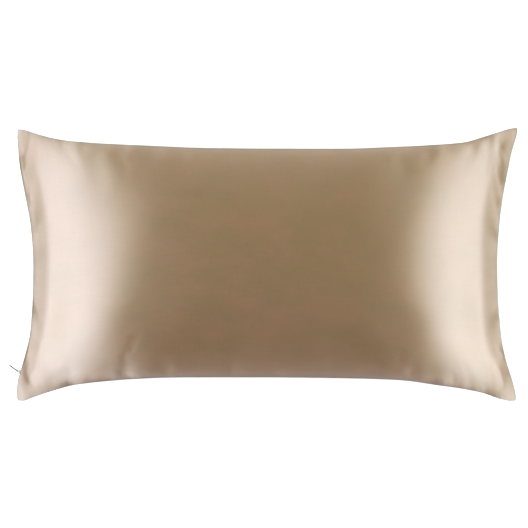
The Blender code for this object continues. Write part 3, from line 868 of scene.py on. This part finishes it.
# The bridge's bar is swept along the arch, from one foot to the other.
bridge_crest = SEAM_GAP + SLIDER_DEPTH + BRIDGE_RISE - BRIDGE_BAR / 2
bridge_foot = SEAM_GAP + SLIDER_DEPTH - BRIDGE_SUNK
half_arch = BRIDGE_LENGTH / 2 - BRIDGE_BAR / 2
turns = np.radians(np.linspace(0, 90, BEND_POINTS))
bend_out = bridge_crest - BRIDGE_BEND + BRIDGE_BEND * np.sin(turns)
bend_along = BRIDGE_BEND - half_arch - BRIDGE_BEND * np.cos(turns)
arch_out = np.concatenate(([bridge_foot], bend_out, bend_out[::-1], [bridge_foot]))
arch_along = np.concatenate(([-half_arch], bend_along, -bend_along[::-1], [half_arch]))
arch_facing = np.concatenate(([0], turns, math.pi - turns[::-1], [math.pi]))
round_bar = np.linspace(0, 2 * math.pi, BAR_POINTS, endpoint=False)
bar_thick, bar_wide = rounded_square(round_bar, BRIDGE_BAR / 2, BRIDGE_WIDTH / 2, BAR_SQUARENESS)
bridge_rings = [
    np.column_stack((out + bar_thick * math.sin(facing), along - bar_thick * math.cos(facing), bar_wide))
    for out, along, facing in zip(arch_out, arch_along, arch_facing)
]
skin_rings(slider_form, bridge_rings, closed=False)
zip_stop = zip_stop_frame()
cast_nickel = nickel(
    "slider_nickel",
    tone=0.34,
    low_roughness=0.16,
    high_roughness=0.26,
    grain=3800.0,
    relief_height=0.000006,
)
metal_piece("zip_slider_cast", slider_form, zip_stop, cast_nickel, "zip_slider")

# ---- The zip's pull -------------------------------------------------------------------------------------
# A drop-shaped tab, pressed from the same nickel-plated metal and hung by its eye on the slider's bridge. A
# raised rim runs round it and a small collar round its eye. It stands out from the seam, almost on edge.

# In degrees: how far it swings from straight out of the seam, towards the head if negative, and how far it
# rolls about its own length.
PULL_LENGTH = 0.0214
PULL_TURN = -17.0
PULL_ROLL = 20.0

# The eye is an opening near the tab's inner end, with a strip of metal before it and some play on the bar.
EYE_LENGTH = 0.0034
EYE_WIDTH = 0.0026
EYE_STRIP = 0.0007
EYE_PLAY = 0.0006
EYE_SQUARENESS = 3.0
PULL_POINTS = 96

# Half its width at shares of its length, from the eye to the free end.
PullStation = namedtuple("PullStation", "share half_width")
PULL_STATIONS = (
    PullStation(0.00, 0.00000),
    PullStation(0.01, 0.00100),
    PullStation(0.04, 0.00182),
    PullStation(0.11, 0.00220),
    PullStation(0.30, 0.00189),
    PullStation(0.55, 0.00238),
    PullStation(0.80, 0.00270),
    PullStation(0.92, 0.00236),
    PullStation(0.975, 0.00155),
    PullStation(1.00, 0.00000),
)

# Its rim, read inwards from the outline, and its collar, read inwards to the wall of the eye. The height is
# taken from the middle of its thickness.
TabLine = namedtuple("TabLine", "inset height")
PULL_RIM = (
    TabLine(0.00000, 0.00066),
    TabLine(0.00005, 0.00079),
    TabLine(0.00016, 0.00085),
    TabLine(0.00030, 0.00085),
    TabLine(0.00040, 0.00068),
)
PULL_COLLAR = (
    TabLine(0.00022, 0.00068),
    TabLine(0.00014, 0.00085),
    TabLine(0.00005, 0.00080),
    TabLine(0.00000, 0.00062),
)

bar_inner = SEAM_GAP + SLIDER_DEPTH + BRIDGE_RISE - BRIDGE_BAR
pull_start = bar_inner - EYE_PLAY - EYE_STRIP
eye_middle = pull_start + EYE_STRIP + EYE_LENGTH / 2
half_count = PULL_POINTS // 2
shares = (1 - np.cos(np.linspace(0, math.pi, half_count + 1))) / 2
half_widths = curve_through(PULL_STATIONS, "half_width")(shares)
pull_x = pull_start + PULL_LENGTH * np.concatenate((shares, shares[-2:0:-1]))
pull_z = np.concatenate((half_widths, -half_widths[-2:0:-1]))
pull_outline = np.column_stack((pull_x, pull_z))
heading = np.roll(pull_outline, -1, axis=0) - np.roll(pull_outline, 1, axis=0)
heading /= np.linalg.norm(heading, axis=1)[:, None]
pull_inwards = np.column_stack((heading[:, 1], -heading[:, 0]))
seen_at = np.arctan2(pull_z, pull_x - eye_middle)


def eye_line(outset):
    """Points round the eye, each in the same direction from its middle as the outline's point."""
    ahead = np.abs(np.cos(seen_at) / (EYE_LENGTH / 2 + outset))
    aside = np.abs(np.sin(seen_at) / (EYE_WIDTH / 2 + outset))
    distance = (ahead**EYE_SQUARENESS + aside**EYE_SQUARENESS) ** (-1 / EYE_SQUARENESS)
    return np.column_stack((eye_middle + distance * np.cos(seen_at), distance * np.sin(seen_at)))


def at_height(points, height):
    """A ring of the tab's points, at this height over the middle of its thickness."""
    return np.column_stack((points[:, 0], np.full(len(points), height), points[:, 1]))


upper_rings = [at_height(pull_outline + pull_inwards * line.inset, line.height) for line in PULL_RIM]
upper_rings += [at_height(eye_line(line.inset), line.height) for line in PULL_COLLAR]
lower_rings = [ring * np.array((1, -1, 1)) for ring in reversed(upper_rings)]
pull_rings = [at_height(pull_outline, 0)] + upper_rings + [at_height(eye_line(0), 0)] + lower_rings
pull_form = bmesh.new()
skin_rings(pull_form, pull_rings, closed=True)
on_bar = Matrix.Translation((bar_inner + BRIDGE_BAR / 2, 0, 0))
swung = Matrix.Rotation(math.radians(PULL_TURN), 4, "Z") @ Matrix.Rotation(math.radians(PULL_ROLL), 4, "X")
pressed_nickel = nickel(
    "pull_nickel",
    tone=0.24,
    low_roughness=0.12,
    high_roughness=0.20,
    grain=2600.0,
    relief_height=0.000003,
)
hung = zip_stop @ on_bar @ swung @ on_bar.inverted()
metal_piece("zip_pull_pressed", pull_form, hung, pressed_nickel, "zip_pull")

# ---- Floor, lights and camera ---------------------------------------------------------------------------
# A plain pale floor. Long softboxes on both sides draw the two bright bands on the satin, smaller ones at the
# head and foot fill in its long seams, and the camera looks straight down on the front.

FLOOR_REACH = 6
FLOOR_WHITE = (0.91, 0.94, 0.96, 1)
floor_corners = [(-FLOOR_REACH, -FLOOR_REACH, 0), (FLOOR_REACH, -FLOOR_REACH, 0)]
floor_corners += [(FLOOR_REACH, FLOOR_REACH, 0), (-FLOOR_REACH, FLOOR_REACH, 0)]
floor_mesh = bpy.data.meshes.new("floor")
floor_mesh.from_pydata(floor_corners, [], [(0, 1, 2, 3)])
floor = bpy.data.objects.new("floor", floor_mesh)
bpy.context.scene.collection.objects.link(floor)
floor_paint = bpy.data.materials.new("floor")
floor_paint.use_nodes = True
floor_shader = floor_paint.node_tree.nodes["Principled BSDF"]
floor_shader.inputs["Base Color"].default_value = FLOOR_WHITE
floor_shader.inputs["Roughness"].default_value = 0.9
floor_mesh.materials.append(floor_paint)

world = bpy.data.worlds.new("studio")
world.use_nodes = True
world.node_tree.nodes["Background"].inputs["Color"].default_value = (1, 1, 1, 1)
world.node_tree.nodes["Background"].inputs["Strength"].default_value = 0.02
bpy.context.scene.world = world

# Softboxes: each is a panel that runs along Y, from its inner to its outer edge in X and Z, and faces the
# case. It is then turned about the origin, in degrees: a panel on the left goes towards the foot, or towards
# the head if the turn is negative. The feathers soften the bands' inner edges, and the two cards light the
# foot's corners.
Softbox = namedtuple("Softbox", "name inner outer length radiance tint turn")
SOFTBOXES = (
    Softbox("left_low", (-2.36, 0.76), (-2.60, 0.10), 6.0, 7.90, (0.95, 0.95, 1.00), 0),
    Softbox("left_softbox", (-1.88, 2.08), (-2.36, 0.76), 6.0, 4.50, (0.96, 0.95, 1.00), 0),
    Softbox("left_feather", (-1.40, 2.50), (-1.88, 2.08), 6.0, 3.40, (1.00, 0.94, 0.76), 0),
    Softbox("right_low", (2.40, 0.73), (2.60, 0.10), 6.0, 7.70, (1.00, 1.00, 1.00), 0),
    Softbox("right_softbox", (2.00, 1.98), (2.40, 0.73), 6.0, 3.80, (1.00, 0.98, 0.96), 0),
    Softbox("right_feather", (1.60, 2.40), (2.00, 1.98), 6.0, 3.20, (1.00, 0.92, 0.64), 0),
    Softbox("head_fill", (-1.80, 1.40), (-2.08, 0.67), 2.4, 3.50, (1.00, 1.00, 0.94), -90),
    Softbox("foot_fill", (-1.20, 2.20), (-1.80, 1.40), 2.4, 0.45, (0.85, 0.76, 1.00), 90),
    Softbox("foot_low", (-2.08, 0.67), (-2.30, 0.10), 2.4, 1.25, (0.10, 0.15, 1.00), 90),
    Softbox("zip_corner_card", (-0.68, 0.30), (-0.78, 0.04), 0.3, 1.40, (0.90, 0.92, 1.00), 44),
    Softbox("plain_corner_card", (-0.70, 0.30), (-0.80, 0.04), 0.3, 1.30, (1.00, 1.00, 1.00), 140),
)

for softbox in SOFTBOXES:
    inner = Vector((softbox.inner[0], 0, softbox.inner[1]))
    outer = Vector((softbox.outer[0], 0, softbox.outer[1]))
    light = bpy.data.lights.new(softbox.name, "AREA")
    light.shape = "RECTANGLE"
    light.size = (outer - inner).length
    light.size_y = softbox.length
    light.energy = softbox.radiance * math.pi * light.size * light.size_y
    light.color = softbox.tint
    across = (outer - inner).normalized()
    away = Vector((0, 1, 0)).cross(across)
    if away.z < 0:
        away = -away
    along = away.cross(across)
    facing = Matrix((across, along, away)).transposed().to_4x4()
    turn = Matrix.Rotation(math.radians(softbox.turn), 4, "Z")
    panel = bpy.data.objects.new(softbox.name, light)
    panel.matrix_world = turn @ Matrix.Translation((inner + outer) / 2) @ facing
    panel.visible_camera = False
    bpy.context.scene.collection.objects.link(panel)

# The camera's place is read from the middle of the case, and the view's width is taken at the seam's height.
CAMERA_X = -0.0058
CAMERA_Y = 0.0008
CAMERA_HEIGHT = 3.4
VIEW_WIDTH = 0.945
SENSOR_WIDTH = 36
camera_data = bpy.data.cameras.new("camera")
camera_data.sensor_width = SENSOR_WIDTH
camera_data.lens = SENSOR_WIDTH * (CAMERA_HEIGHT - SEAM_HEIGHT) / VIEW_WIDTH
camera = bpy.data.objects.new("camera", camera_data)
camera.location = (CASE_MIDDLE.x + CAMERA_X, CASE_MIDDLE.y + CAMERA_Y, CAMERA_HEIGHT)
bpy.context.scene.collection.objects.link(camera)
bpy.context.scene.camera = camera
bpy.context.scene.view_settings.view_transform = "Standard"
